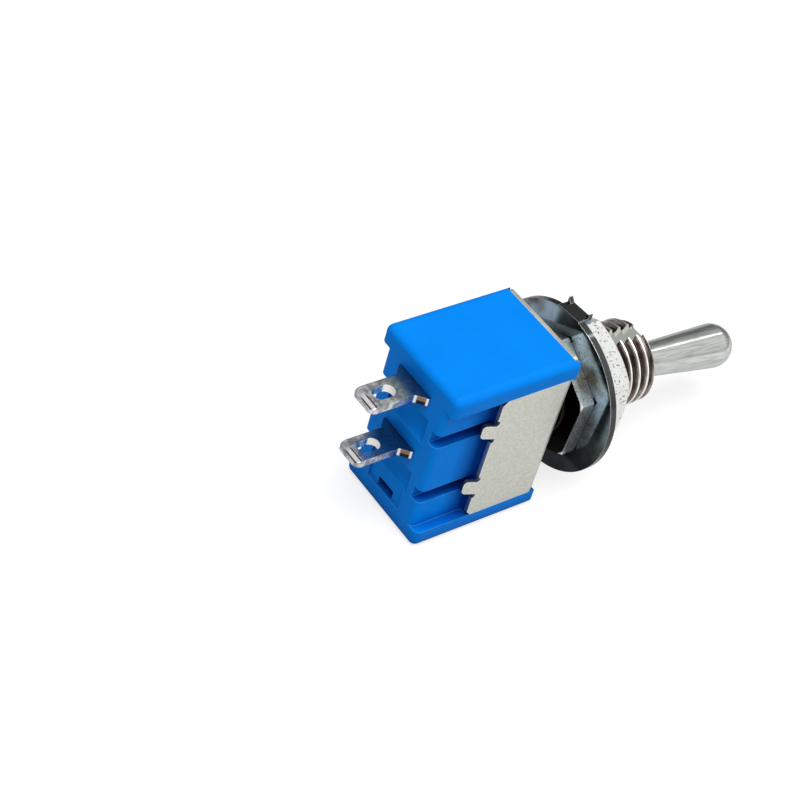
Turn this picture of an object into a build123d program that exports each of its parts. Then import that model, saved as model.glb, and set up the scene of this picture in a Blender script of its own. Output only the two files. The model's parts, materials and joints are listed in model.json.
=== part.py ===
from build123d import *
import math
import os

# A miniature on-off toggle switch for a front panel.
#
# +X runs along the threaded bushing, out of the panel. +Z is the way the lever throws up, and Y is the
# width of the body. The origin lies on the bushing's axis, at the outer face of the frame's front plate.
# Every size is in millimetres.

# ---- Frame: the folded steel strap that holds bushing and housing together
body_height = 13.2
body_width = 7.9
plate_t = 0.3
leg_length = 5.85
bend_r = 0.3
plate_corner_r = 0.35
plate_side_inset = 0.3
leg_corner = 0.35
tab_spacing = 5.1
tab_width = 1.1
tab_length = 0.85
tab_bend = 22.0
tab_relief_r = 0.22

# ---- Housing: the moulded box
body_depth = 9.9
lip_height = 1.4
side_inset = 0.7
groove_spacing = 5.0
groove_height = 1.06
groove_depth = 0.75
housing_edge_r = 0.55
rear_edge_r = 0.5
block_edge_r = 0.45
rear_wall = 1.9
cavity_width = 3.5
cavity_height = 10.8
trough_width = 4.0
trough_height = 2.0
trough_depth = 0.45
spare_recess_depth = 0.15
spare_recess_width = 3.5
spare_slot_width = 1.6
leg_clearance = 0.03
plate_side_clearance = 0.03
shoulder_gap = 0.1

# ---- Terminals: flat solder lugs
terminal_pitch = 4.7
lug_t = 0.6
lug_width = 2.0
lug_length = 4.1
lug_corner_r = 0.4
lug_bevel = 0.55
lug_bevel_t = 0.17
lug_hole_length = 1.6
lug_hole_width = 1.05
lug_hole_inset = 1.65
ear_width = 3.3
ear_flare = 0.65
ear_reach = 0.15
neck_width = 1.24
neck_clearance = 0.03

# ---- Bushing
thread_r = 3.0
bushing_length = 9.65
bushing_chamfer = 0.25
flange_width = 6.3
flange_height = 8.4
flange_t = 0.6
flange_corner_r = 0.8
flange_clearance = 0.05
keyway_width = 1.05
keyway_depth = 0.5
thread_ring_pitch = 0.9
thread_depth = 0.35
pivot_inset = 3.65
mouth_r = 1.74
seat_start = 0.75
seat_length = 0.7
throat_r = 1.4
bore_flare_r = 2.3
bore_flare_length = 2.6
hole_clearance = 0.02

# ---- Lever
lever_tilt = 8.5
ball_r = 1.95
ball_clearance = 0.05
ball_cut = 0.5
trunnion_r = 0.45
trunnion_span = 4.6
trunnion_clearance = 0.04
root_r = 1.06
root_length = 3.35
bat_r = 1.62
bat_length = 10.45
tail_r = 1.1
tail_bore_r = 0.75
tail_bore_depth = 5.6

# ---- Plunger and its spring, in the hollow tail
plunger_showing = 2.8
plunger_head_r = 1.0
plunger_head_gap = 0.5
plunger_tip_r = 0.6
stem_length = 2.0
stem_clearance = 0.05
tip_clearance = 0.08
spring_wire = 0.2
spring_mean_r = 0.54
spring_turns = 3
spring_wire_sides = 4
spring_end_gap = 0.03

# ---- Contacts
saddle_base_t = 0.45
saddle_height = 0.98
saddle_half = 1.3
saddle_clearance = 0.03
bead_r = 0.5
rocker_t = 0.4
rocker_arm = 4.4
rocker_standoff = 0.15
rocker_side_gap = 0.4
throw_plate_t = 0.4
throw_plate_reach = 0.7
contact_z = 3.6
contact_side = 1.0
fixed_contact_t = 0.35
contact_gap = 0.02

# ---- Nuts and washers
nut_across_flats = 8.0
nut_chamfer_angle = 30.0
nut_clearance = 0.03
rear_nut_start = 1.45
rear_nut_t = 1.2
rear_nut_turn = 33.0
rear_nut_chamfer = 0.12
front_nut_t = 2.4
front_nut_turn = 26.0
front_nut_chamfer = 0.34
washer_gap = 0.01
ring_r = 6.06
ring_t = 0.5
ring_clearance = 0.08
ring_key_width = 0.9
ring_tab_width = 2.1
ring_tab_length = 1.15
ring_tab_turn = 5.5
ring_tab_horn = 0.38
lock_washer_r = 4.8
lock_washer_t = 0.44
lock_washer_hole_r = 3.7
lock_tooth_count = 8
lock_tooth_width = 1.05
lock_tooth_twist = 14.0

# ---- Places that follow from the sizes above
half_width = body_width / 2
half_height = body_height / 2
leg_inner_y = half_width - plate_t
lip_z = half_height - lip_height
rear_side_y = half_width - side_inset
shoulder_x = shoulder_gap - leg_length
lip_plate_width = body_width - 2 * plate_side_inset
cavity_floor_x = rear_wall - body_depth
lug_tip_x = -body_depth - lug_length
pivot_x = bushing_length - pivot_inset
socket_r = ball_r + ball_clearance
saddle_r = bead_r + saddle_clearance
rocker_x = cavity_floor_x + saddle_base_t + saddle_r
rocker_bend = lever_tilt
rocker_face_x = rocker_x + (rocker_standoff + rocker_t) / math.cos(math.radians(rocker_bend))
rocker_width = cavity_width - 2 * rocker_side_gap
plunger_reach = pivot_x - rocker_face_x - tip_clearance
tail_reach = plunger_reach - plunger_showing
bat_reach = pivot_inset + bat_length
fixed_contact_face_x = cavity_floor_x + throw_plate_t + fixed_contact_t
moving_contact_t = rocker_x + rocker_standoff - contact_gap - fixed_contact_face_x
throw_plate_low_z = contact_z - contact_side / 2 - 0.1
throw_plate_high_z = terminal_pitch + throw_plate_reach
rear_nut_end = rear_nut_start + rear_nut_t
ring_start = rear_nut_end + washer_gap
ring_end = ring_start + ring_t
lock_washer_start = ring_end + washer_gap
front_nut_start = lock_washer_start + lock_washer_t + washer_gap
front_nut_end = front_nut_start + front_nut_t


def span(x_low, x_high, width, height, y=0, z=0):
    """A box between two places along X, centred on y and z."""
    return Pos((x_low + x_high) / 2, y, z) * Box(x_high - x_low, width, height)


def rod(x_low, x_high, radius):
    """A cylinder along X between two places."""
    return Pos((x_low + x_high) / 2, 0, 0) * Rot(Y=90) * Cylinder(radius, x_high - x_low)


def cone(x_low, x_high, low_r, high_r):
    """A cone along X, with its radius at each end."""
    return Pos((x_low + x_high) / 2, 0, 0) * Rot(Y=90) * Cone(low_r, high_r, x_high - x_low)


def rounded_bar(x_low, x_high, width, height, corner_r, z=0):
    """A bar along X with its four long edges rounded."""
    section = Plane.YZ.offset(x_low) * Pos(0, z) * RectangleRounded(width, height, corner_r)
    return extrude(section, amount=x_high - x_low)


# ---------------------------------------------------------------- frame

def frame():
    """Front plate over the whole body, with a leg folded back along each side and two tabs on each leg."""
    outer = span(-leg_length, 0, body_width, 2 * lip_z)
    outer = fillet(outer.edges().filter_by(Axis.Z).sort_by(Axis.X)[-2:], bend_r + plate_t)
    inner = span(-leg_length - 1, -plate_t, 2 * leg_inner_y, 2 * lip_z)
    inner = fillet(inner.edges().filter_by(Axis.Z).sort_by(Axis.X)[-2:], bend_r)
    strap = outer - inner
    plate = rounded_bar(-plate_t, 0, lip_plate_width, body_height, plate_corner_r)
    plate -= span(-plate_t - 1, 1, body_width + 1, 2 * lip_z)
    strap += plate
    strap -= rod(-plate_t - 1, 1, thread_r + hole_clearance)
    for side in (1, -1):
        for end in (1, -1):
            strap -= leg_corner_cut(side, end)
            for edge in (1, -1):
                z = end * tab_spacing / 2 + edge * (tab_width / 2 + tab_relief_r)
                relief = Pos(-leg_length, side * (leg_inner_y + plate_t / 2), z) * Rot(X=90)
                strap -= relief * Cylinder(tab_relief_r, 3 * plate_t)
            strap += tab(side, end)
    return strap


def leg_corner_cut(side, end):
    """The small bevel at a rear corner of a leg."""
    turn = Pos(-leg_length, side * (half_width - plate_t / 2), end * lip_z) * Rot(Y=45)
    return turn * Box(leg_corner * math.sqrt(2), 3 * plate_t, leg_corner * math.sqrt(2))


def tab(side, end):
    """A tab that runs on from the leg's rear edge and is bent inwards behind the housing's shoulder."""
    strip = span(-tab_length, 0, plate_t, tab_width, y=-plate_t / 2)
    tip_edges = strip.edges().filter_by(Axis.Y).sort_by(Axis.X)[:2]
    strip = fillet(tip_edges, tab_width / 4)
    strip = Rot(Z=tab_bend) * strip
    if side < 0:
        strip = mirror(strip, Plane.XZ)
    return Pos(-leg_length, side * half_width, end * tab_spacing / 2) * strip


# ---------------------------------------------------------------- housing

def housing():
    """Moulded box: full-width lips top and bottom, set-back grooved sides, troughs behind and a cavity."""
    box = rounded_bar(-body_depth, 0, body_width, body_height, housing_edge_r)
    box = fillet(box.faces().sort_by(Axis.X)[0].edges(), rear_edge_r)
    box -= span(-plate_t, 1, body_width + 1, 2 * lip_z)
    box -= span(-plate_t, 1, lip_plate_width + 2 * plate_side_clearance, body_height + 1)
    for side in (1, -1):
        box -= side_recess(side)
    box = fillet(upright_edges(box, -plate_t, leg_inner_y - leg_clearance), bend_r + leg_clearance)
    box = fillet(upright_edges(box, -body_depth, rear_side_y), block_edge_r)
    slot_height = lug_t + 2 * neck_clearance
    for end in (1, -1):
        box -= rear_trough(end * terminal_pitch / 2)
    for place in (terminal_pitch, 0):
        box -= span(-body_depth - 1, cavity_floor_x + 1, neck_width + 2 * neck_clearance, slot_height, z=place)
    box -= span(-body_depth - 1, cavity_floor_x + 1, spare_slot_width, slot_height, z=-terminal_pitch)
    spare_top = (trough_height - terminal_pitch) / 2
    spare_low = -terminal_pitch - slot_height / 2
    box -= span(-body_depth - 1, spare_recess_depth - body_depth, spare_recess_width, spare_top - spare_low,
                z=(spare_top + spare_low) / 2)
    box -= span(cavity_floor_x, 1, cavity_width, cavity_height)
    box -= rounded_bar(-plate_t - flange_t - flange_clearance, 1, flange_width + 2 * flange_clearance,
                       flange_height + 2 * flange_clearance, flange_corner_r)
    box += rest_pad()
    return box


def upright_edges(body, x, y):
    """The edges of a body that run along Z at a given place, on both sides."""
    return body.edges().filter_by(Axis.Z).filter_by(
        lambda edge: abs(edge.center().X - x) < 0.01 and abs(abs(edge.center().Y) - y) < 0.01)


def side_recess(side):
    """What is cut from one side: room for the leg, the set-back behind it and the two long grooves."""
    wide = 4.0
    leg_room_y = leg_inner_y - leg_clearance
    cut = span(shoulder_x, 1, wide, 2 * lip_z, y=side * (leg_room_y + wide / 2))
    cut += span(-body_depth - 1, shoulder_x, wide, 2 * lip_z, y=side * (rear_side_y + wide / 2))
    for end in (1, -1):
        cut += span(-body_depth - 1, shoulder_x, wide, groove_height,
                    y=side * (rear_side_y - groove_depth + wide / 2), z=end * groove_spacing / 2)
    return cut


def rear_trough(place):
    """A shallow rounded trough across the rear face, between two terminals."""
    trough_r = (trough_height ** 2 / 4 + trough_depth ** 2) / (2 * trough_depth)
    centre_x = trough_depth - body_depth - trough_r
    return Pos(centre_x, 0, place) * Rot(X=90) * Cylinder(trough_r, trough_width)


def rest_pad():
    """Pad on the cavity's floor that the rocker's lower arm leans on when the switch is off."""
    return span(cavity_floor_x - 0.1, fixed_contact_face_x, contact_side, contact_side, z=-contact_z)


# ---------------------------------------------------------------- terminals

def terminal(place, neck_end_x):
    """Flat lug with an oval hole, a bevelled tip, flared ears and a neck that passes the rear wall."""
    rear_x = -body_depth
    ear_x = rear_x - ear_reach
    flare_x = ear_x - ear_flare
    half_outline = [
        (neck_end_x, neck_width / 2),
        (rear_x, neck_width / 2),
        (rear_x, ear_width / 2),
        (ear_x, ear_width / 2),
        (flare_x, lug_width / 2),
        (lug_tip_x, lug_width / 2),
    ]
    outline = half_outline + [(x, -y) for x, y in reversed(half_outline)]
    plan = make_face(Polyline(*outline, close=True))
    plan = fillet(plan.vertices().sort_by(Axis.X)[:2], lug_corner_r)
    hole_x = lug_tip_x + lug_hole_inset
    plan -= Pos(hole_x, 0) * SlotOverall(lug_hole_length, lug_hole_width)
    blank = extrude(plan, amount=lug_t / 2, both=True)
    return Pos(0, 0, place) * (blank & side_view(neck_end_x))


def side_view(neck_end_x):
    """The lug seen from the side: a strip whose tip is bevelled above and below."""
    half_t = lug_t / 2
    bevel_x = lug_tip_x + lug_bevel
    tip_t = half_t - lug_bevel_t
    upper = [(neck_end_x, half_t), (bevel_x, half_t), (lug_tip_x, tip_t)]
    outline = upper + [(x, -z) for x, z in reversed(upper)]
    section = Plane.XZ * make_face(Polyline(*outline, close=True))
    return extrude(section, amount=ear_width, both=True)


# ---------------------------------------------------------------- bushing and lever

def bushing():
    """Turned sleeve with a flange behind the plate, a keyway, a seat for the ball and slots for the trunnions."""
    sleeve = revolve(make_face(Polyline(*thread_outline(), close=True)), Axis.X)
    sleeve += rounded_bar(-plate_t - flange_t, -plate_t, flange_width, flange_height, flange_corner_r)
    back_x = -plate_t - flange_t
    seat_x = pivot_x + seat_start
    throat_x = seat_x + seat_length
    sleeve -= rod(back_x - 1, seat_x, socket_r)
    sleeve -= cone(back_x, back_x + bore_flare_length, bore_flare_r, socket_r)
    sleeve -= cone(seat_x, throat_x, socket_r, throat_r)
    sleeve -= cone(throat_x, bushing_length, throat_r, mouth_r)
    slot_r = trunnion_r + trunnion_clearance
    slot_length = trunnion_span + 2 * trunnion_clearance
    sleeve -= span(back_x - 1, pivot_x, slot_length, 2 * slot_r)
    sleeve -= Pos(pivot_x, 0, 0) * Rot(X=90) * Cylinder(slot_r, slot_length)
    sleeve -= span(-plate_t, bushing_length + 1, keyway_width, 2 * keyway_depth, z=thread_r)
    return sleeve


def thread_outline():
    """Half of the sleeve's section, with a V ring for each turn of the thread in front of the front nut."""
    thread_end = bushing_length - bushing_chamfer
    ring_count = int((thread_end - front_nut_end) / thread_ring_pitch)
    start = thread_end - ring_count * thread_ring_pitch
    points = [(-plate_t, 0), (-plate_t, thread_r), (start, thread_r)]
    for turn in range(ring_count):
        points.append((start + (turn + 0.5) * thread_ring_pitch, thread_r - thread_depth))
        points.append((start + (turn + 1) * thread_ring_pitch, thread_r))
    return points + [(bushing_length, thread_r - bushing_chamfer), (bushing_length, 0)]


def on_lever(piece):
    """Turn a piece made along X about the ball's centre into the lever's resting position."""
    return Pos(pivot_x, 0, 0) * Rot(Y=lever_tilt) * piece


def lever():
    """Bat, ball and hollow tail in one turned piece, with a trunnion on each side of the ball."""
    nose_start = bat_reach - bat_r
    ball_front = math.sqrt(ball_r ** 2 - root_r ** 2)
    ball_back = math.sqrt(ball_r ** 2 - tail_r ** 2)
    ball_cut_r = math.sqrt(ball_r ** 2 - ball_cut ** 2)
    ball = ThreePointArc((-ball_cut, ball_cut_r), (0, ball_r), (ball_front, root_r))
    bat = Polyline((ball_front, root_r), (root_length, root_r), (nose_start, bat_r))
    nose = CenterArc((nose_start, 0), bat_r, 0, 90)
    tail = Polyline((bat_reach, 0), (-tail_reach, 0), (-tail_reach, tail_r), (-ball_back, tail_r),
                    (-ball_cut, ball_cut_r))
    turned = revolve(make_face([ball, bat, nose, tail]), Axis.X)
    turned += Rot(X=90) * Cylinder(trunnion_r, trunnion_span)
    turned -= rod(-tail_reach - 1, tail_bore_depth - tail_reach, tail_bore_r)
    return on_lever(turned)


def plunger():
    """Nylon pin: a stem that slides in the tail and a round-nosed head that rides on the rocker."""
    head_start = tail_reach + plunger_head_gap
    nose_x = plunger_reach - plunger_tip_r
    stem = rod(-head_start, stem_length - tail_reach, tail_bore_r - stem_clearance)
    head = rod(-nose_x, -head_start, plunger_head_r)
    head = chamfer(head.faces().sort_by(Axis.X)[0].edges(), plunger_head_r - plunger_tip_r)
    tip = Pos(-nose_x, 0, 0) * Sphere(plunger_tip_r)
    return on_lever(stem + head + tip)


def plunger_spring():
    """Compression spring between the plunger's stem and the bottom of the tail's bore, with few-sided wire."""
    low = stem_length - tail_reach + spring_end_gap + spring_wire / 2
    high = tail_bore_depth - tail_reach - spring_end_gap - spring_wire / 2
    path = Helix((high - low) / spring_turns, high - low, spring_mean_r)
    section = Plane(origin=path @ 0, z_dir=path % 0) * RegularPolygon(spring_wire / 2, spring_wire_sides)
    coil = sweep(section, path=path, is_frenet=True)
    return on_lever(Pos(low, 0, 0) * Rot(Y=90) * coil)


# ---------------------------------------------------------------- contacts

def on_rocker(piece):
    """Tilt a piece made about the rocker's axis so that the upper arm is closed."""
    return Pos(rocker_x, 0, 0) * Rot(Y=-rocker_bend) * piece


def rocker_arm_section(end):
    """One arm seen from the side, bent forwards by the rocker's bend."""
    arm = Pos(rocker_standoff + rocker_t / 2, rocker_arm / 2) * Rectangle(rocker_t, rocker_arm)
    arm = Rot(Z=-rocker_bend) * arm
    if end < 0:
        arm = mirror(arm, Plane.XZ)
    return arm


def rocker():
    """See-saw contact: two arms bent forwards and a half-round bead behind, which sits in the saddle."""
    section = rocker_arm_section(1) + rocker_arm_section(-1) + Circle(bead_r)
    bar = extrude(Plane.XZ * section, amount=rocker_width / 2, both=True)
    return on_rocker(bar)


def moving_contacts():
    """The two silver pads on the back of the rocker's arms."""
    pad = span(rocker_standoff - moving_contact_t, rocker_standoff, contact_side, contact_side, z=contact_z)
    upper = Rot(Y=rocker_bend) * pad
    lower = mirror(upper, Plane.XY)
    return Compound([on_rocker(upper), on_rocker(lower)])


def rocker_saddle():
    """Seat clinched on the common terminal: a base plate with a half-round trough for the rocker's bead."""
    base_front = cavity_floor_x + saddle_base_t
    seat = span(cavity_floor_x, base_front, rocker_width, 2 * saddle_half)
    seat += span(cavity_floor_x, rocker_x, rocker_width, 2 * saddle_height)
    seat -= Pos(rocker_x, 0, 0) * Rot(X=90) * Cylinder(saddle_r, rocker_width + 1)
    seat -= span(cavity_floor_x - 1, rocker_x, neck_width + 2 * hole_clearance, lug_t + 2 * hole_clearance)
    return seat


def throw_plate():
    """Contact plate clinched on the throw terminal, flat on the cavity floor."""
    middle = (throw_plate_low_z + throw_plate_high_z) / 2
    height = throw_plate_high_z - throw_plate_low_z
    plate = span(cavity_floor_x, cavity_floor_x + throw_plate_t, rocker_width, height, z=middle)
    plate -= span(cavity_floor_x - 1, 0, neck_width + 2 * hole_clearance, lug_t + 2 * hole_clearance,
                  z=terminal_pitch)
    return plate


def fixed_contact():
    """Silver pad on the throw plate."""
    return span(cavity_floor_x + throw_plate_t, fixed_contact_face_x, contact_side, contact_side, z=contact_z)


# ---------------------------------------------------------------- nuts and washers

def nut(start, thickness, turn, corner_chamfer):
    """Hexagon nut whose corners are turned off at both faces by a shallow cone."""
    side = Plane.YZ.offset(start) * Rot(Z=turn) * RegularPolygon(nut_across_flats / 2, 6, major_radius=False)
    body = extrude(side, amount=thickness)
    end = start + thickness
    corner_r = nut_across_flats / 2 / math.cos(math.radians(30))
    face_r = corner_r - corner_chamfer / math.tan(math.radians(nut_chamfer_angle))
    half = [(start, 0), (start, face_r), (start + corner_chamfer, corner_r), (end - corner_chamfer, corner_r),
            (end, face_r), (end, 0)]
    body &= revolve(make_face(Polyline(*half, close=True)), Axis.X)
    return body - rod(start - 1, end + 1, thread_r + nut_clearance)


def locking_ring():
    """Flat ring with a key that runs in the bushing's keyway and a tab folded forwards at the rim."""
    ring = rod(ring_start, ring_end, ring_r)
    ring -= rod(ring_start - 1, ring_end + 1, thread_r + ring_clearance)
    key_low_z = thread_r - keyway_depth + ring_clearance
    key_high_z = thread_r + 2 * ring_clearance
    ring += span(ring_start, ring_end, ring_key_width, key_high_z - key_low_z, z=(key_low_z + key_high_z) / 2)
    return ring + Rot(X=-ring_tab_turn) * ring_tab()


def ring_tab():
    """The rim tab, folded forwards, with a small upturned point at each corner of its end."""
    tab_z = ring_r - ring_t / 2
    end_x = ring_start + ring_tab_length
    blade = span(ring_start, end_x, ring_tab_width, ring_t, z=tab_z)
    half = ring_tab_width / 2
    top = tab_z + ring_t / 2
    for side in (1, -1):
        points = [(side * half, top), (side * half, top + ring_tab_horn), (side * (half - 0.3), top)]
        horn = Plane.YZ.offset(end_x - 0.35) * make_face(Polyline(*points, close=True))
        blade += extrude(horn, amount=0.35)
    return blade


def lock_washer():
    """Internal-tooth lock washer: a thin ring whose teeth point inwards and are twisted."""
    middle = lock_washer_start + lock_washer_t / 2
    sheet_t = lock_washer_t / 2
    washer = rod(middle - sheet_t / 2, middle + sheet_t / 2, lock_washer_r)
    washer -= rod(lock_washer_start - 1, front_nut_start + 1, lock_washer_hole_r)
    tooth_low_r = thread_r + ring_clearance
    tooth_high_r = lock_washer_hole_r + 0.15
    tooth_middle = (tooth_low_r + tooth_high_r) / 2
    tooth = Pos(middle, 0, tooth_middle) * Rot(Z=lock_tooth_twist)
    tooth *= Box(sheet_t * 0.8, lock_tooth_width, tooth_high_r - tooth_low_r)
    for step in range(lock_tooth_count):
        washer += Rot(X=step * 360 / lock_tooth_count) * tooth
    return washer


pieces = {
    "housing": housing(),
    "frame": frame(),
    "bushing": bushing(),
    "throw_terminal": terminal(terminal_pitch, cavity_floor_x + throw_plate_t),
    "common_terminal": terminal(0, cavity_floor_x + saddle_base_t),
    "throw_plate": throw_plate(),
    "fixed_contact": fixed_contact(),
    "rocker_saddle": rocker_saddle(),
    "rocker": rocker(),
    "moving_contacts": moving_contacts(),
    "lever": lever(),
    "plunger": plunger(),
    "plunger_spring": plunger_spring(),
    "rear_nut": nut(rear_nut_start, rear_nut_t, rear_nut_turn, rear_nut_chamfer),
    "locking_ring": locking_ring(),
    "lock_washer": lock_washer(),
    "front_nut": nut(front_nut_start, front_nut_t, front_nut_turn, front_nut_chamfer),
}

os.makedirs("parts", exist_ok=True)
for name, piece in pieces.items():
    export_step(piece, f"parts/{name}.step")
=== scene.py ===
import json
import math

import bmesh
import bpy
import numpy as np
from mathutils import Matrix, Vector


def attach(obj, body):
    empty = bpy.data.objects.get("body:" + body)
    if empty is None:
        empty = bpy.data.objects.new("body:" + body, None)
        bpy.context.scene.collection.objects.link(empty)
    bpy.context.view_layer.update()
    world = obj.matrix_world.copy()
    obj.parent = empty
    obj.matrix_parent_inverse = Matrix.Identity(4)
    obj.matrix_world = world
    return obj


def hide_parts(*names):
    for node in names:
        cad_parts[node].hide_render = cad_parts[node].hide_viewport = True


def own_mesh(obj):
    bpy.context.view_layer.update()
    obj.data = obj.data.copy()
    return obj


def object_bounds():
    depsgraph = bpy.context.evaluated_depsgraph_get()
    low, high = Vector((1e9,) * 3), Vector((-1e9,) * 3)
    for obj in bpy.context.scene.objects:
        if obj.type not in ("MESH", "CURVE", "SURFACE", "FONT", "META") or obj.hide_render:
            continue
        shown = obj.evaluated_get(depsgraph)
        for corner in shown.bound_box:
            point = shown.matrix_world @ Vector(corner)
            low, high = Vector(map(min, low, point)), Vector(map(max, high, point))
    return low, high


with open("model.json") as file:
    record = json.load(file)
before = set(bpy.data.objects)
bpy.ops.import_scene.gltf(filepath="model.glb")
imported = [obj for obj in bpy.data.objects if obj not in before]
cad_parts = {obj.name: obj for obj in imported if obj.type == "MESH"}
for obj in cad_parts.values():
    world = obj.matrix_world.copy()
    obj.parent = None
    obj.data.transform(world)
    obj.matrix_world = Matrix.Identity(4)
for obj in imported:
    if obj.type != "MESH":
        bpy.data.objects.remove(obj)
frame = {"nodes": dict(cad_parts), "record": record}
cad_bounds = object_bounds()
MM = 0.001

# ---- Sizes of the new pieces, in millimetres, in the switch's own frame: X runs out of the panel along the
# ---- bushing's axis, Z is up, and the origin is at the outer face of the front plate.
THREAD_R = 3.0
THREAD_PITCH = 0.75
THREAD_DEPTH = 0.43
THREAD_START = -0.3
CREST_SHARE = 0.07
FLANK_SHARE = 0.29
FLANK_EASE = 0.3
BUSHING_END = 9.65
BUSHING_CHAMFER = 0.25
KEYWAY_HALF = 0.525
KEYWAY_FLOOR = 2.5
MOUTH_R = 1.76
MOUTH_EASE = 0.06
NECK_X = 7.45
NECK_R = 1.4
SEAT_FRONT = 6.75
SEAT_BACK = 1.7
SEAT_R = 2.0
TAIL_ROOM_R = 2.3
SLEEVE_BACK_R = 2.8
FLANGE_BACK = -0.9
FLANGE_WIDTH = 6.3
FLANGE_HEIGHT = 8.4
FLANGE_CORNER = 0.8
FLANGE_HOLE_R = 2.5

PIVOT_X = 6.0
LEVER_TILT = math.radians(8.5)
COIL_LOW = -7.5
COIL_HIGH = -4.07
COIL_TURNS = 6
COIL_R = 0.54
COIL_WIRE_R = 0.1

LEG_FACE_Y = 3.95
MARK_X = -1.75
MARK_ON_Z = -3.0
MARK_OFF_Z = 2.6
MARK_HEIGHT = 1.9
INK_T = 0.004

# ---- Where a finish, a painted shade or a painted highlight changes, in millimetres: each pair runs from where its mask is 0 to where it is full.
THREAD_VALLEY_R = (2.76, 2.58)
THREAD_CREST_R = (2.91, 2.97)
BEHIND_FRONT_X = (BUSHING_END - 0.2, BUSHING_END - 0.3)
BEHIND_NUTS_X = (3.0, 2.0)
KEYWAY_SIDE_Y = (KEYWAY_HALF + 0.04, KEYWAY_HALF + 0.02)
KEYWAY_LOW_Z = (2.2, 2.25)
REAR_NUT_BACK_X = (1.5, 1.46)
RING_RIM_R = (6.01, 6.03)
RING_SHADE_Z = (4.0, -2.5)
STRAP_SHADE_X = (-7.8, -6.1)
BETWEEN_LIPS_Z = (5.22, 5.18)
LUG_PITCH = 4.7
LUG_TIP = -14.0
LUG_SHADE_X = (-12.6, -10.9)
LUG_NEAR_Y = (0.5, 0.1)
LUG_HOLE_X = (-13.25, -13.2)
LUG_HOLE_Y = (0.6, 0.56)
EAR_X = (-10.76, -10.7)
EAR_BACK_X = (-10.56, -10.62)
EAR_FRONT_X = (-10.17, -10.13)
EAR_TOP_Z = (-0.05, 0.02)
BAND_FADE = 0.03

# ---- Studio: places in millimetres, strengths without a unit
ROOM_BRIGHT_SIDE = (0.0, -0.5, 0.866)
ROOM_SPAN = (-0.15, 0.95)
ROOM_LOW = 0.1
ROOM_HIGH = 0.52
ROOM_IN_METAL = 1.7
FLOOR_HALF = 600
FLOOR_GREY = 0.4
FLOOR_TO_EYE = 0.72
FLOOR_TURN_Y = (15, -20)
FLOOR_IN_METAL_FAR = 0.15
FLOOR_IN_METAL_NEAR = 0.5
LAMPS = (
    # name, place, aim, width and length, power in watts
    ("key", (-30, -60, 330), (0, 0, 0), (240, 240), 0.72),
    ("side", (60, -330, 120), (0, 0, 0), (160, 220), 0.12),
    ("rear", (-330, 40, 150), (0, 0, 0), (160, 200), 0.1),
    ("strip", (190, 25, 276), (14, 0, -1), (14, 300), 0.075),
)
CAMERA_LENS = 89.05
CAMERA_PLACE = (-76.273, -62.592, 86.209)
CAMERA_AIM = (-6.256, 4.329, -1.996)
CAMERA_ROLL = math.radians(16.638)


# ---------------------------------------------------------------- meshes

def add_piece(name, points, faces, body, material, smooth_angle=None):
    """A mesh of points in millimetres, merged where points meet, riding on a body."""
    corners = [tuple(point) for point in np.asarray(points) * MM]
    mesh = bpy.data.meshes.new(name)
    mesh.from_pydata(corners, [], [tuple(int(i) for i in face) for face in faces])
    merge_points(mesh)
    piece = bpy.data.objects.new(name, mesh)
    bpy.context.scene.collection.objects.link(piece)
    mesh.materials.append(material)
    mesh.shade_smooth()
    if smooth_angle:
        mesh.set_sharp_from_angle(angle=math.radians(smooth_angle))
    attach(piece, body)
    return piece


def merge_points(mesh):
    """Joins points that fall together, drops faces with no area and turns every face outwards."""
    reach = 0.0005 * MM
    work = bmesh.new()
    work.from_mesh(mesh)
    bmesh.ops.remove_doubles(work, verts=work.verts, dist=reach)
    bmesh.ops.dissolve_degenerate(work, edges=work.edges, dist=reach)
    bmesh.ops.recalc_face_normals(work, faces=work.faces)
    work.to_mesh(mesh)
    work.free()


def grid_faces(rows, columns, close_rows=False, close_columns=False):
    """The four-sided faces of a grid of rows x columns points, which may close on itself either way."""
    i = np.arange(rows if close_rows else rows - 1)[:, None]
    j = np.arange(columns if close_columns else columns - 1)[None, :]
    i_next = (i + 1) % rows
    j_next = (j + 1) % columns
    corners = [i * columns + j, i * columns + j_next, i_next * columns + j_next, i_next * columns + j]
    return np.stack([np.broadcast_to(c, (i.size, j.size)) for c in corners], axis=-1).reshape(-1, 4)


def ring_faces(first, second, count):
    """The four-sided faces between two closed rings of count points, each named by its first point."""
    ring = np.arange(count)
    after = (ring + 1) % count
    return np.stack([first + ring, first + after, second + after, second + ring], axis=-1)


# ---------------------------------------------------------------- bushing

def thread_radius(phase):
    """Radius of the thread at a share of one pitch.

    Flat at the crest, then down by a straight line that is mixed with some of an S curve, then flat at the
    root.
    """
    away = np.abs((phase + 0.5) % 1.0 - 0.5)
    down = np.clip((away - CREST_SHARE) / FLANK_SHARE, 0.0, 1.0)
    eased = (1.0 - FLANK_EASE) * down + FLANK_EASE * down * down * (3.0 - 2.0 * down)
    return THREAD_R - THREAD_DEPTH * eased


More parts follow.
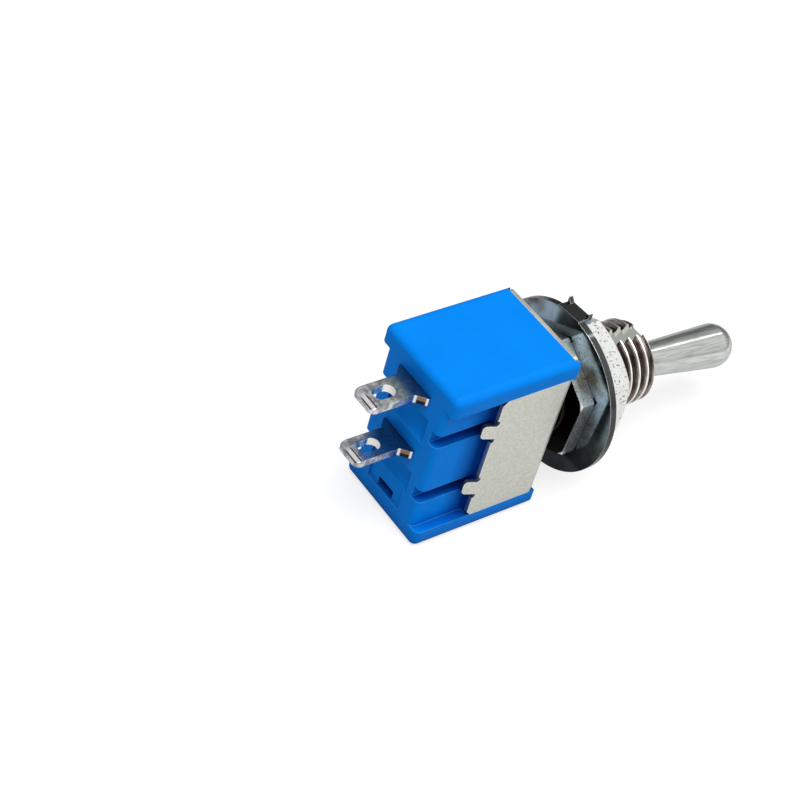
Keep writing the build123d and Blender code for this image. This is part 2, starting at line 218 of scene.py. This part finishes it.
def thread_skin(steps, columns):
    """The bushing's outside: a radius that depends on the angle and on the distance along the axis.

    The grid's rows follow the helix: each starts one step further along X than the last and gains one pitch
    in a turn. The first starts a lead of one and a half turns behind the sleeve, and x is clipped at the
    sleeve's two ends. Columns run round from one side of the keyway to the other, and two more lie in the
    corners of its floor. The radius is the thread's, never outside the front chamfer and never inside the
    floor's corners.
    """
    lead = 1.5
    turns = int(round((BUSHING_END - THREAD_START) / THREAD_PITCH) + 2 * lead)
    row_x = THREAD_START + THREAD_PITCH * (np.arange(turns * steps) / steps - lead)
    edge_angle = math.asin(KEYWAY_HALF / THREAD_R)
    share = np.linspace(0.0, 1.0, columns)
    nominal = edge_angle + share * (2 * math.pi - 2 * edge_angle)
    x = np.clip(row_x[:, None] + THREAD_PITCH * nominal / (2 * math.pi), THREAD_START, BUSHING_END)
    radius = thread_radius(x / THREAD_PITCH - nominal / (2 * math.pi))
    radius = np.minimum(radius, THREAD_R - BUSHING_CHAMFER + (BUSHING_END - x))
    radius = np.maximum(radius, math.hypot(KEYWAY_FLOOR, KEYWAY_HALF))
    half = np.arcsin(KEYWAY_HALF / radius)
    angle = half + share * (2 * math.pi - 2 * half)
    skin = np.stack([x, radius * np.sin(angle), radius * np.cos(angle)], axis=-1)
    floor = np.repeat(skin[:, -1:, :], 2, axis=1)
    floor[:, 0, 1:] = (-KEYWAY_HALF, KEYWAY_FLOOR)
    floor[:, 1, 1:] = (KEYWAY_HALF, KEYWAY_FLOOR)
    return np.concatenate([skin, floor], axis=1)


def threaded_sleeve():
    """The threaded skin and the bore inside it, closed into one wall.

    A row's last column meets the first column of the row one turn on, where the helix has reached the same
    x. The bore is circles about the axis, one for each step of a profile of x and radius, from the mouth back
    through the ball's seat to the flange and out to the sleeve's first row.
    """
    steps = 14
    skin = thread_skin(steps, columns=100)
    rows, wide = skin.shape[:2]
    low = np.arange(rows - 1)
    turn_on = np.minimum(low + steps, rows - 1)
    turn_on_next = np.minimum(low + 1 + steps, rows - 1)
    seam = np.stack([low * wide + wide - 1, turn_on * wide, turn_on_next * wide, (low + 1) * wide + wide - 1],
                    axis=-1)
    profile = np.array([
        (BUSHING_END, MOUTH_R),
        (BUSHING_END - MOUTH_EASE, MOUTH_R - 0.5 * MOUTH_EASE),
        (NECK_X, NECK_R),
        (SEAT_FRONT, SEAT_R),
        (SEAT_BACK, SEAT_R),
        (FLANGE_BACK, TAIL_ROOM_R),
        (FLANGE_BACK, SLEEVE_BACK_R),
        (THREAD_START, SLEEVE_BACK_R),
    ])
    around = np.arctan2(skin[-1, :, 1], skin[-1, :, 2])
    bore_x = np.repeat(profile[:, :1], wide, axis=1)
    bore = np.stack([bore_x, profile[:, 1:] * np.sin(around), profile[:, 1:] * np.cos(around)], axis=-1)
    skin_end = (rows - 1) * wide
    bore_start = rows * wide
    bore_end = bore_start + (len(profile) - 1) * wide
    faces = [
        grid_faces(rows, wide),
        seam,
        grid_faces(len(profile), wide, close_columns=True) + bore_start,
        ring_faces(skin_end, bore_start, wide),
        ring_faces(bore_end, 0, wide),
    ]
    return np.concatenate([skin.reshape(-1, 3), bore.reshape(-1, 3)]), np.concatenate(faces)


def flange_plate():
    """A plate with a round hole, closed round from back to front.

    Its outline is a circle of the corner's radius, moved out to whichever corner of the rectangle the angle
    points at.
    """
    count = 96
    around = np.linspace(0, 2 * math.pi, count, endpoint=False)
    circle = np.stack([np.cos(around), np.sin(around)], axis=-1)
    reach = np.array([FLANGE_WIDTH / 2 - FLANGE_CORNER, FLANGE_HEIGHT / 2 - FLANGE_CORNER])
    outline = np.sign(circle) * reach + FLANGE_CORNER * circle
    hole = FLANGE_HOLE_R * circle
    loops = [(FLANGE_BACK, hole), (FLANGE_BACK, outline), (THREAD_START, outline), (THREAD_START, hole)]
    points = np.concatenate([np.column_stack([np.full(count, x), loop]) for x, loop in loops])
    return points, grid_faces(4, count, close_rows=True, close_columns=True)


# ---------------------------------------------------------------- spring

def wire_coil(low, high, turns, mean_r, wire_r):
    """A tube round a helix that runs along X.

    The helix advances evenly, and slows over its first and last turn to a quarter of that pace, so the ends
    lie close. The wire's radius is the root of 1 less a high power of the place along it, from -1 to 1, so
    that it is full along the helix and falls to nothing at the two tips, which closes them.
    """
    stations = 220
    sides = 14
    end_pace = 0.25
    fullness = 400
    share = np.linspace(0.0, 1.0, stations)
    angle = 2 * math.pi * turns * share
    settle = np.clip(np.minimum(share, 1 - share) * turns, 0, 1)
    travel = np.cumsum(end_pace + (1 - end_pace) * settle)
    travel = (travel - travel[0]) / (travel[-1] - travel[0])
    outward = np.stack([np.zeros_like(angle), np.cos(angle), np.sin(angle)], axis=-1)
    centre = outward * mean_r
    centre[:, 0] = low + (high - low) * travel
    around = np.linspace(0, 2 * math.pi, sides, endpoint=False)
    size = wire_r * np.sqrt(np.clip(1 - (2 * share - 1) ** fullness, 0, 1))
    sideways = np.array([1.0, 0.0, 0.0])
    rim = np.cos(around)[None, :, None] * outward[:, None, :] + np.sin(around)[None, :, None] * sideways
    points = centre[:, None, :] + size[:, None, None] * rim
    return points.reshape(-1, 3), grid_faces(stations, sides, close_columns=True)


def on_lever(points):
    """Turns points made along X about the ball's centre into the lever's resting place."""
    turn = np.array(Matrix.Rotation(LEVER_TILT, 3, "Y"))
    return points @ turn.T + np.array([PIVOT_X, 0.0, 0.0])


# ---------------------------------------------------------------- lettering

def position_mark(words, name, centre_z, ink):
    """Flat lettering on the far leg of the frame, read upwards, with its head towards the bushing."""
    curve = bpy.data.curves.new(name, "FONT")
    curve.body = words
    curve.align_x = "CENTER"
    curve.align_y = "CENTER"
    curve.size = MARK_HEIGHT * MM
    curve.extrude = INK_T * MM
    source = bpy.data.objects.new(name + "_source", curve)
    bpy.context.scene.collection.objects.link(source)
    bpy.context.view_layer.update()
    mesh = bpy.data.meshes.new_from_object(source)
    bpy.data.objects.remove(source)
    reading = Vector((0, 0, 1))
    head = Vector((1, 0, 0))
    outward = Vector((0, 1, 0))
    turn = Matrix((reading, head, outward)).transposed().to_4x4()
    centre = Vector((MARK_X, LEG_FACE_Y + INK_T, centre_z)) * MM
    mesh.transform(Matrix.Translation(centre) @ turn)
    mesh.materials.clear()
    mesh.materials.append(ink)
    mark = bpy.data.objects.new(name, mesh)
    bpy.context.scene.collection.objects.link(mark)
    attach(mark, "body")


# ---------------------------------------------------------------- shading steps

UNTURNED = (0.0, 0.0, 0.0)
ALONG_LEVER = (0.0, LEVER_TILT, 0.0)
NOISE_SPAN = (0.3, 0.7)


def new_material(name, color, roughness, metallic=0.0):
    """A material with one Principled shader, whose fixed values sit on its own sockets."""
    material = bpy.data.materials.new(name)
    material.use_nodes = True
    shader = material.node_tree.nodes["Principled BSDF"]
    shader.inputs["Base Color"].default_value = (*color, 1.0)
    shader.inputs["Roughness"].default_value = roughness
    shader.inputs["Metallic"].default_value = metallic
    return material, shader


def add_node(owner, kind):
    """A new node in the tree of a material or of the world."""
    return owner.node_tree.nodes.new(kind)


def feed(owner, value, socket):
    """Gives a socket a number, a colour or another node's output."""
    if isinstance(value, (int, float)):
        socket.default_value = value
    elif isinstance(value, tuple):
        socket.default_value = (*value, 1.0)
    else:
        owner.node_tree.links.new(value, socket)


def arithmetic(owner, kind, first, second=0.0):
    """One step of arithmetic on two values, each a number or an output."""
    node = add_node(owner, "ShaderNodeMath")
    node.operation = kind
    feed(owner, first, node.inputs[0])
    feed(owner, second, node.inputs[1])
    return node.outputs["Value"]


def both(owner, first, second):
    """High only where both masks are high: their product."""
    return arithmetic(owner, "MULTIPLY", first, second)


def either(owner, first, second):
    """High where one mask or the other is high: the greater of the two."""
    return arithmetic(owner, "MAXIMUM", first, second)


def ramp(owner, value, span, results=(0.0, 1.0), smooth=False):
    """Maps a value from one span to another by a straight line or an S curve, held at the ends."""
    node = add_node(owner, "ShaderNodeMapRange")
    if smooth:
        node.interpolation_type = "SMOOTHSTEP"
    node.inputs["From Min"].default_value = span[0]
    node.inputs["From Max"].default_value = span[1]
    node.inputs["To Min"].default_value = results[0]
    node.inputs["To Max"].default_value = results[1]
    feed(owner, value, node.inputs["Value"])
    return node.outputs["Result"]


def ramp_mm(owner, value, span, results=(0.0, 1.0)):
    """The straight map for a place on the switch, with its span in millimetres."""
    return ramp(owner, value, (span[0] * MM, span[1] * MM), results)


def blend(owner, share, first, second):
    """Goes from one colour to another by a share."""
    node = add_node(owner, "ShaderNodeMix")
    node.data_type = "RGBA"
    colors = {socket.name: socket for socket in node.inputs if socket.type == "RGBA"}
    feed(owner, first, colors["A"])
    feed(owner, second, colors["B"])
    feed(owner, share, node.inputs["Factor"])
    return [socket for socket in node.outputs if socket.type == "RGBA"][0]


def split_vector(owner, vector):
    """The three parts of a vector."""
    node = add_node(owner, "ShaderNodeSeparateXYZ")
    feed(owner, vector, node.inputs["Vector"])
    return node.outputs["X"], node.outputs["Y"], node.outputs["Z"]


def own_place(material):
    """X, Y and Z in the piece's own coordinates."""
    return split_vector(material, add_node(material, "ShaderNodeTexCoord").outputs["Object"])


def from_axis(material):
    """The distance from the bushing's axis: the root of Y squared and Z squared together."""
    y, z = own_place(material)[1:]
    squares = arithmetic(material, "ADD", arithmetic(material, "POWER", y, 2.0),
                         arithmetic(material, "POWER", z, 2.0))
    return arithmetic(material, "SQRT", squares)


def grain(material, repeats, detail=3.0, turn=UNTURNED):
    """Noise in the piece's own coordinates; repeats are per metre along each axis of the turned grain."""
    mapping = add_node(material, "ShaderNodeMapping")
    mapping.vector_type = "TEXTURE"
    mapping.inputs["Rotation"].default_value = turn
    mapping.inputs["Scale"].default_value = [1.0 / count for count in repeats]
    feed(material, add_node(material, "ShaderNodeTexCoord").outputs["Object"], mapping.inputs["Vector"])
    noise = add_node(material, "ShaderNodeTexNoise")
    noise.inputs["Scale"].default_value = 1.0
    noise.inputs["Detail"].default_value = detail
    noise.inputs["Roughness"].default_value = 0.5
    feed(material, mapping.outputs["Vector"], noise.inputs["Vector"])
    return noise.outputs["Fac"]


def even(repeats):
    """The same number of repeats along each axis."""
    return (repeats, repeats, repeats)


def rounded_normal(material, radius):
    """The surface's direction, with sharp edges rounded by a radius in millimetres."""
    rounding = add_node(material, "ShaderNodeBevel")
    rounding.samples = 6
    rounding.inputs["Radius"].default_value = radius * MM
    return rounding.outputs["Normal"]


def soft_edges(material, shader, radius, height, depth):
    """Rounds the shading of sharp edges, and lays a relief of a depth in millimetres over it."""
    bump = add_node(material, "ShaderNodeBump")
    bump.inputs["Strength"].default_value = 1.0
    bump.inputs["Distance"].default_value = depth * MM
    feed(material, height, bump.inputs["Height"])
    feed(material, rounded_normal(material, radius), bump.inputs["Normal"])
    feed(material, bump.outputs["Normal"], shader.inputs["Normal"])


def edge_mask(material, radius):
    """Near 1 close to sharp edges and 0 elsewhere, from how far the rounded direction leaves the true one.

    The cosine between the two falls from 0.995 to 0.8 as the mask rises.
    """
    turned = add_node(material, "ShaderNodeVectorMath")
    turned.operation = "DOT_PRODUCT"
    feed(material, rounded_normal(material, radius), turned.inputs[0])
    feed(material, add_node(material, "ShaderNodeNewGeometry").outputs["Normal"], turned.inputs[1])
    return ramp(material, turned.outputs["Value"], (0.995, 0.8))


def openness(material, reach):
    """1 on open surfaces, falling towards 0 deep in corners and grooves, felt over a reach in millimetres."""
    node = add_node(material, "ShaderNodeAmbientOcclusion")
    node.samples = 8
    node.inputs["Distance"].default_value = reach * MM
    return node.outputs["AO"]


def painted_edge_highlight(material, tone, color, radius=0.08):
    """Puts a painted highlight colour on the sharp edges, over a radius in millimetres."""
    return blend(material, edge_mask(material, radius), tone, color)


def painted_corner_shade(material, tone, dark, shut=0.15, clear=0.85, reach=2.5):
    """Painted shade: sinks to a dark tone in corners, fully below the openness shut, and not at all above
    clear.
    """
    return blend(material, ramp(material, openness(material, reach), (shut, clear)), dark, tone)


def coloured(material, tone):
    """Puts the finished tone on the shader."""
    feed(material, tone, material.node_tree.nodes["Principled BSDF"].inputs["Base Color"])
    return material


# ---------------------------------------------------------------- finishes

def blue_plastic():
    """Blue moulded plastic: slight sheen, faint orange-peel, deeper blue as painted shade in recesses and
    paler edges as a painted highlight.

    Painted shade darkens the sides still more between the two lips, towards the metal strap.
    """
    material, shader = new_material("blue_plastic", (0.0, 0.25, 0.93), roughness=0.5)
    clouds = grain(material, even(260), detail=2.0)
    fine = grain(material, even(3200))
    tone = blend(material, ramp(material, clouds, NOISE_SPAN), (0.0, 0.24, 0.9), (0.0, 0.27, 0.97))
    # painted shade: deeper blue in recesses and grooves
    tone = painted_corner_shade(material, tone, (0.0, 0.05, 0.36), shut=0.28, clear=0.92, reach=2.0)
    # painted highlight: paler blue along the sharp edges
    edge_highlight = ramp(material, edge_mask(material, radius=0.14), (0.0, 1.0), (0.0, 0.8))
    tone = blend(material, edge_highlight, tone, (0.05, 0.4, 1.0))
    x, _, z = own_place(material)
    # painted shade on the sides between the two lips, growing towards the strap
    between_lips = ramp_mm(material, arithmetic(material, "ABSOLUTE", z), BETWEEN_LIPS_Z)
    by_strap = both(material, ramp_mm(material, x, STRAP_SHADE_X, (0.0, 0.75)), between_lips)
    tone = blend(material, by_strap, tone, (0.0, 0.03, 0.26))
    feed(material, ramp(material, fine, NOISE_SPAN, (0.42, 0.56)), shader.inputs["Roughness"])
    soft_edges(material, shader, radius=0.12, height=fine, depth=0.004)
    shader.inputs["Specular IOR Level"].default_value = 0.06
    return coloured(material, tone)


def plated(name, bright, dull, roughness, streaks, drift=even(420), specks=(0.38, 0.62), edge=0.06,
           depth=0.002, turn=UNTURNED):
    """Plated metal before its colour is finished: gives the material and its first tone.

    The tone drifts from bright to dull between the two levels of specks. Streaks drive the roughness, from
    three quarters to 1.3 times the one given, and a relief over edges that are rounded in the shading.
    """
    material, shader = new_material(name, bright, roughness, metallic=1.0)
    lines = grain(material, streaks, detail=4.0, turn=turn)
    rough = ramp(material, lines, NOISE_SPAN, (roughness * 0.75, roughness * 1.3))
    feed(material, rough, shader.inputs["Roughness"])
    soft_edges(material, shader, edge, lines, depth)
    blotches = grain(material, drift, turn=turn)
    return material, blend(material, ramp(material, blotches, specks), bright, dull)


def tinned_steel():
    """The strap: fine mottled tin, with a painted highlight on its cut edges and painted shade in its
    corners.
    """
    material, tone = plated("tinned_steel", (0.77, 0.74, 0.66), (0.62, 0.66, 0.6), roughness=0.42,
                            streaks=(500, 500, 9000), drift=even(6500), specks=(0.4, 0.6), edge=0.05)
    tone = painted_edge_highlight(material, tone, (1.0, 1.0, 0.98), radius=0.13)
    return coloured(material, painted_corner_shade(material, tone, (0.04, 0.04, 0.04)))


def threaded(material, tone, valley, crest):
    """Colours a thread by the distance from its axis: painted shade in the valleys behind the front face,
    and a thin painted highlight on the crests.
    """
    radius = from_axis(material)
    behind_front = ramp_mm(material, own_place(material)[0], BEHIND_FRONT_X)
    in_valley = both(material, behind_front, ramp_mm(material, radius, THREAD_VALLEY_R))
    tone = blend(material, in_valley, tone, valley)
    return blend(material, ramp_mm(material, radius, THREAD_CREST_R), tone, crest)


def nickel_plate():
    """The bushing: dark nickel with bright painted highlights on the crests and edges, a pale keyway floor as
    a painted reflection, and painted shade in corners and behind the nuts.
    """
    dark = (0.02, 0.014, 0.012)
    material, tone = plated("nickel_plate", (0.5, 0.45, 0.42), (0.28, 0.23, 0.21), roughness=0.17,
                            streaks=(700, 2500, 2500), drift=even(1500), edge=0.03)
    tone = threaded(material, tone, valley=(0.03, 0.02, 0.02), crest=(1.0, 0.98, 0.93))
    tone = painted_edge_highlight(material, tone, (0.98, 0.97, 0.93), radius=0.06)
    tone = painted_corner_shade(material, tone, dark, shut=0.25, clear=0.7)
    x, y, z = own_place(material)
    # painted reflection: the keyway's floor made pale
    keyway_reflection = both(material, ramp_mm(material, arithmetic(material, "ABSOLUTE", y), KEYWAY_SIDE_Y),
                     ramp_mm(material, z, KEYWAY_LOW_Z))
    tone = blend(material, keyway_reflection, tone, (0.78, 0.81, 0.74))
    # painted shade: dark behind the nuts
    return coloured(material, blend(material, ramp_mm(material, x, BEHIND_NUTS_X), tone, dark))


def chrome_plate():
    """The lever: bright plate with fine polishing lines along it."""
    material, tone = plated("chrome_plate", (0.76, 0.79, 0.76), (0.56, 0.61, 0.58), roughness=0.18,
                            streaks=(160, 5200, 5200), drift=(420, 7000, 7000), edge=0.03, depth=0.003,
                            turn=ALONG_LEVER)
    return coloured(material, tone)


def nut_plate():
    """The nuts: pale plate with small dark pits, painted highlights on the edges, and painted shade in
    corners and on the back of the rear nut.
    """
    dark = (0.01, 0.01, 0.01)
    material, tone = plated("nut_plate", (0.93, 0.94, 0.9), (0.13, 0.14, 0.12), roughness=0.25,
                            streaks=(3000, 900, 900), drift=even(5500), specks=(0.58, 0.68))
    tone = painted_edge_highlight(material, tone, (0.95, 0.95, 0.92))
    tone = painted_corner_shade(material, tone, dark, shut=0.12, clear=0.4)
    # painted shade: black on the back of the rear nut
    x = own_place(material)[0]
    return coloured(material, blend(material, ramp_mm(material, x, REAR_NUT_BACK_X), tone, dark))


def ring_plate():
    """The washers: bluish plate with large dark clouds and a dark rim, painted highlights on the edges, and
    painted shade in corners and towards the bottom.
    """
    dark = (0.01, 0.012, 0.014)
    material, tone = plated("ring_plate", (0.4, 0.54, 0.66), (0.11, 0.11, 0.08), roughness=0.12,
                            streaks=even(900), drift=even(600), specks=(0.38, 0.66), edge=0.04)
    tone = blend(material, ramp_mm(material, from_axis(material), RING_RIM_R), tone, (0.09, 0.1, 0.1))
    tone = painted_edge_highlight(material, tone, (0.9, 0.92, 0.92))
    tone = painted_corner_shade(material, tone, dark, shut=0.3, clear=0.9)
    # painted shade, deepening towards the bottom
    z = own_place(material)[2]
    return coloured(material, blend(material, ramp_mm(material, z, RING_SHADE_Z, (0.0, 0.9)), tone, dark))


def lug_tip_bands(material, tone, x, near_top):
    """A bright painted highlight on the tip's bevel between two dark painted lines, across the near half of
    the tip, in millimetres from its end.
    """
    bands = (
        (0.42, 0.54, (0.06, 0.055, 0.06)),
        (0.18, 0.42, (0.97, 0.96, 0.95)),
        (0.06, 0.18, (0.05, 0.045, 0.05)),
    )
    for start, end, color in bands:
        band = both(material, ramp_mm(material, x, (LUG_TIP + start, LUG_TIP + start + BAND_FADE)),
                    ramp_mm(material, x, (LUG_TIP + end, LUG_TIP + end - BAND_FADE)))
        tone = blend(material, both(material, band, near_top), tone, color)
    return tone


def sheared_ear(material, x, z):
    """The sheared edge of an ear: copper above its lug's middle and painted shade below, between corners with
    a painted highlight.
    """
    on_upper_lug = arithmetic(material, "GREATER_THAN", z, 0.5 * LUG_PITCH * MM)
    lug_middle = arithmetic(material, "MULTIPLY", on_upper_lug, LUG_PITCH * MM)
    above = arithmetic(material, "SUBTRACT", z, lug_middle)
    copper = blend(material, ramp_mm(material, above, EAR_TOP_Z), (0.01, 0.02, 0.05), (0.3, 0.17, 0.09))
    # painted highlight on the ear's two corners
    corners = either(material, ramp_mm(material, x, EAR_FRONT_X), ramp_mm(material, x, EAR_BACK_X))
    return blend(material, corners, copper, (0.9, 0.88, 0.86))


def solder_lug():
    """Mottled tin over copper alloy, darker at its edges, with painted shade towards the body.

    Faces that lie level carry the tin. Upright ones are the ears' sheared edges and the hole's wall, which
    carries a painted highlight.
    """
    material, shader = new_material("tinned_lug", (0.8, 0.8, 0.8), roughness=0.22, metallic=1.0)
    x, y, z = own_place(material)
    true_normal = add_node(material, "ShaderNodeNewGeometry").outputs["True Normal"]
    facing_up = arithmetic(material, "ABSOLUTE", split_vector(material, true_normal)[2])
    level = ramp(material, facing_up, (0.3, 0.5))
    upright = ramp(material, facing_up, (0.5, 0.3))
    mottle = grain(material, even(2600), detail=4.0)
    tone = blend(material, ramp(material, mottle, (0.42, 0.58)), (0.86, 0.86, 0.88), (0.36, 0.38, 0.4))
    outline = ramp(material, edge_mask(material, radius=0.09), (0.2, 0.8), (0.0, 0.9))
    tone = blend(material, outline, tone, (0.07, 0.065, 0.075))
    # painted shade with a blue reflection towards the body
    near_body = both(material, ramp_mm(material, x, LUG_SHADE_X, (0.0, 0.85)), level)
    tone = blend(material, near_body, tone, (0.1, 0.2, 0.22))
    # bands of painted highlight and dark lines on the tip's near half
    near_top = both(material, level, ramp_mm(material, y, LUG_NEAR_Y))
    tone = lug_tip_bands(material, tone, x, near_top)
    on_ear = both(material, upright, ramp_mm(material, x, EAR_X))
    tone = blend(material, on_ear, tone, sheared_ear(material, x, z))
    # painted highlight on the hole's wall
    near_middle = ramp_mm(material, arithmetic(material, "ABSOLUTE", y), LUG_HOLE_Y)
    in_hole = both(material, both(material, near_middle, ramp_mm(material, x, LUG_HOLE_X)), upright)
    tone = blend(material, in_hole, tone, (0.97, 0.96, 0.93))
    feed(material, ramp(material, mottle, NOISE_SPAN, (0.14, 0.34)), shader.inputs["Roughness"])
    soft_edges(material, shader, radius=0.07, height=mottle, depth=0.008)
    return coloured(material, tone)


def plain(name, color, roughness):
    """A plain finish whose colour drifts a little."""
    material, shader = new_material(name, color, roughness)
    drift = grain(material, even(1500))
    darker = tuple(0.82 * part for part in color)
    soft_edges(material, shader, radius=0.04, height=drift, depth=0.003)
    return coloured(material, blend(material, ramp(material, drift, (0.35, 0.65)), color, darker))


# ---------------------------------------------------------------- studio

def aimed(location, target):
    """The turn of a lamp or camera that stands at one place and looks at another."""
    return (Vector(target) - Vector(location)).to_track_quat("-Z", "Y")


def add_lamp(name, location, target, size, power):
    """A soft rectangular lamp that points at a target."""
    lamp = bpy.data.lights.new(name, "AREA")
    lamp.shape = "RECTANGLE"
    lamp.size = size[0] * MM
    lamp.size_y = size[1] * MM
    lamp.energy = power
    holder = bpy.data.objects.new(name, lamp)
    holder.location = Vector(location) * MM
    holder.rotation_euler = aimed(location, target).to_euler()
    bpy.context.scene.collection.objects.link(holder)


def in_mirror(owner, path):
    """1 for what metal mirrors or glass lets through, and 0 otherwise."""
    return either(owner, path.outputs["Is Glossy Ray"], path.outputs["Is Transmission Ray"])


def studio_floor(level):
    """A pale floor that keeps the shadow; the eye sees it white, and metal sees it paler on the near side."""
    half = FLOOR_HALF * MM
    mesh = bpy.data.meshes.new("floor")
    corners = [(-half, -half, level), (half, -half, level), (half, half, level), (-half, half, level)]
    mesh.from_pydata(corners, [], [(0, 1, 2, 3)])
    floor = bpy.data.objects.new("floor", mesh)
    bpy.context.scene.collection.objects.link(floor)
    material, shader = new_material("white_floor", (FLOOR_GREY, FLOOR_GREY, FLOOR_GREY), 0.9)
    path = add_node(material, "ShaderNodeLightPath")
    brightness = (FLOOR_IN_METAL_FAR, FLOOR_IN_METAL_NEAR)
    near_side = ramp_mm(material, own_place(material)[1], FLOOR_TURN_Y, brightness)
    in_metal = both(material, in_mirror(material, path), near_side)
    to_eye = both(material, path.outputs["Is Camera Ray"], FLOOR_TO_EYE)
    feed(material, either(material, in_metal, to_eye), shader.inputs["Emission Strength"])
    shader.inputs["Emission Color"].default_value = (1.0, 1.0, 1.0, 1.0)
    shader.inputs["Specular IOR Level"].default_value = 0.0
    mesh.materials.append(material)


def studio_world():
    """A room that is pale overhead and on the near side, dim on the far side, and plain white to the eye."""
    world = bpy.data.worlds.new("studio")
    world.use_nodes = True
    bpy.context.scene.world = world
    toward = add_node(world, "ShaderNodeVectorMath")
    toward.operation = "DOT_PRODUCT"
    toward.inputs[1].default_value = ROOM_BRIGHT_SIDE
    feed(world, add_node(world, "ShaderNodeTexCoord").outputs["Generated"], toward.inputs[0])
    shade = ramp(world, toward.outputs["Value"], ROOM_SPAN, (ROOM_LOW, ROOM_HIGH), smooth=True)
    path = add_node(world, "ShaderNodeLightPath")
    gain = arithmetic(world, "ADD", both(world, in_mirror(world, path), ROOM_IN_METAL - 1.0), 1.0)
    background = world.node_tree.nodes["Background"]
    background.inputs["Color"].default_value = (1.0, 1.0, 1.0, 1.0)
    seen = either(world, path.outputs["Is Camera Ray"], both(world, shade, gain))
    feed(world, seen, background.inputs["Strength"])


def studio_camera():
    """The camera, turned about its own line of sight by the roll."""
    data = bpy.data.cameras.new("camera")
    data.lens = CAMERA_LENS
    data.sensor_width = 36.0
    data.clip_start = 0.005
    camera = bpy.data.objects.new("camera", data)
    location = Vector(CAMERA_PLACE) * MM
    facing = aimed(location, Vector(CAMERA_AIM) * MM).to_matrix()
    turn = facing @ Matrix.Rotation(CAMERA_ROLL, 3, "Z")
    camera.matrix_world = Matrix.Translation(location) @ turn.to_4x4()
    bpy.context.scene.collection.objects.link(camera)
    return camera


# ---------------------------------------------------------------- the switch

finish = {
    "blue_plastic": blue_plastic(),
    "tinned_steel": tinned_steel(),
    "nickel_plate": nickel_plate(),
    "chrome_plate": chrome_plate(),
    "tinned_lug": solder_lug(),
    "nut_plate": nut_plate(),
    "ring_plate": ring_plate(),
    "nylon": plain("nylon", (0.8, 0.77, 0.68), roughness=0.5),
    "spring_steel": coloured(*plated("spring_steel", (0.5, 0.5, 0.5), (0.4, 0.4, 0.4), roughness=0.3,
                                     streaks=even(3000), edge=0.02)),
    "contact_copper": coloured(*plated("contact_copper", (0.72, 0.42, 0.26), (0.6, 0.33, 0.2),
                                       roughness=0.32, streaks=(800, 5000, 800), edge=0.04)),
    "silver": coloured(*plated("silver", (0.9, 0.89, 0.86), (0.8, 0.79, 0.76), roughness=0.3,
                               streaks=even(2500), edge=0.03)),
    "marking_ink": plain("marking_ink", (0.06, 0.06, 0.06), roughness=0.6),
}
for part in frame["record"]["subparts"]:
    node_mesh = frame["nodes"][part["node"]].data
    node_mesh.materials.clear()
    node_mesh.materials.append(finish[part["material_slot"]])

sleeve = add_piece("bushing_thread", *threaded_sleeve(), "body", finish["nickel_plate"], smooth_angle=50)
flange = add_piece("bushing_flange", *flange_plate(), "body", finish["nickel_plate"], smooth_angle=40)
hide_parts("bushing")
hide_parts("bushing")

coil_points, coil_faces = wire_coil(COIL_LOW, COIL_HIGH, COIL_TURNS, COIL_R, COIL_WIRE_R)
coil = add_piece("plunger_coil", on_lever(coil_points), coil_faces, "toggle", finish["spring_steel"])
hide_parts("plunger_spring")
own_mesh(coil)


position_mark("ON", "mark_on", MARK_ON_Z, finish["marking_ink"])
position_mark("OFF", "mark_off", MARK_OFF_Z, finish["marking_ink"])


studio_floor(cad_bounds[0][2])
studio_world()
for lamp in LAMPS:
    add_lamp(*lamp)
bpy.context.scene.camera = studio_camera()
bpy.context.scene.view_settings.view_transform = "Standard"
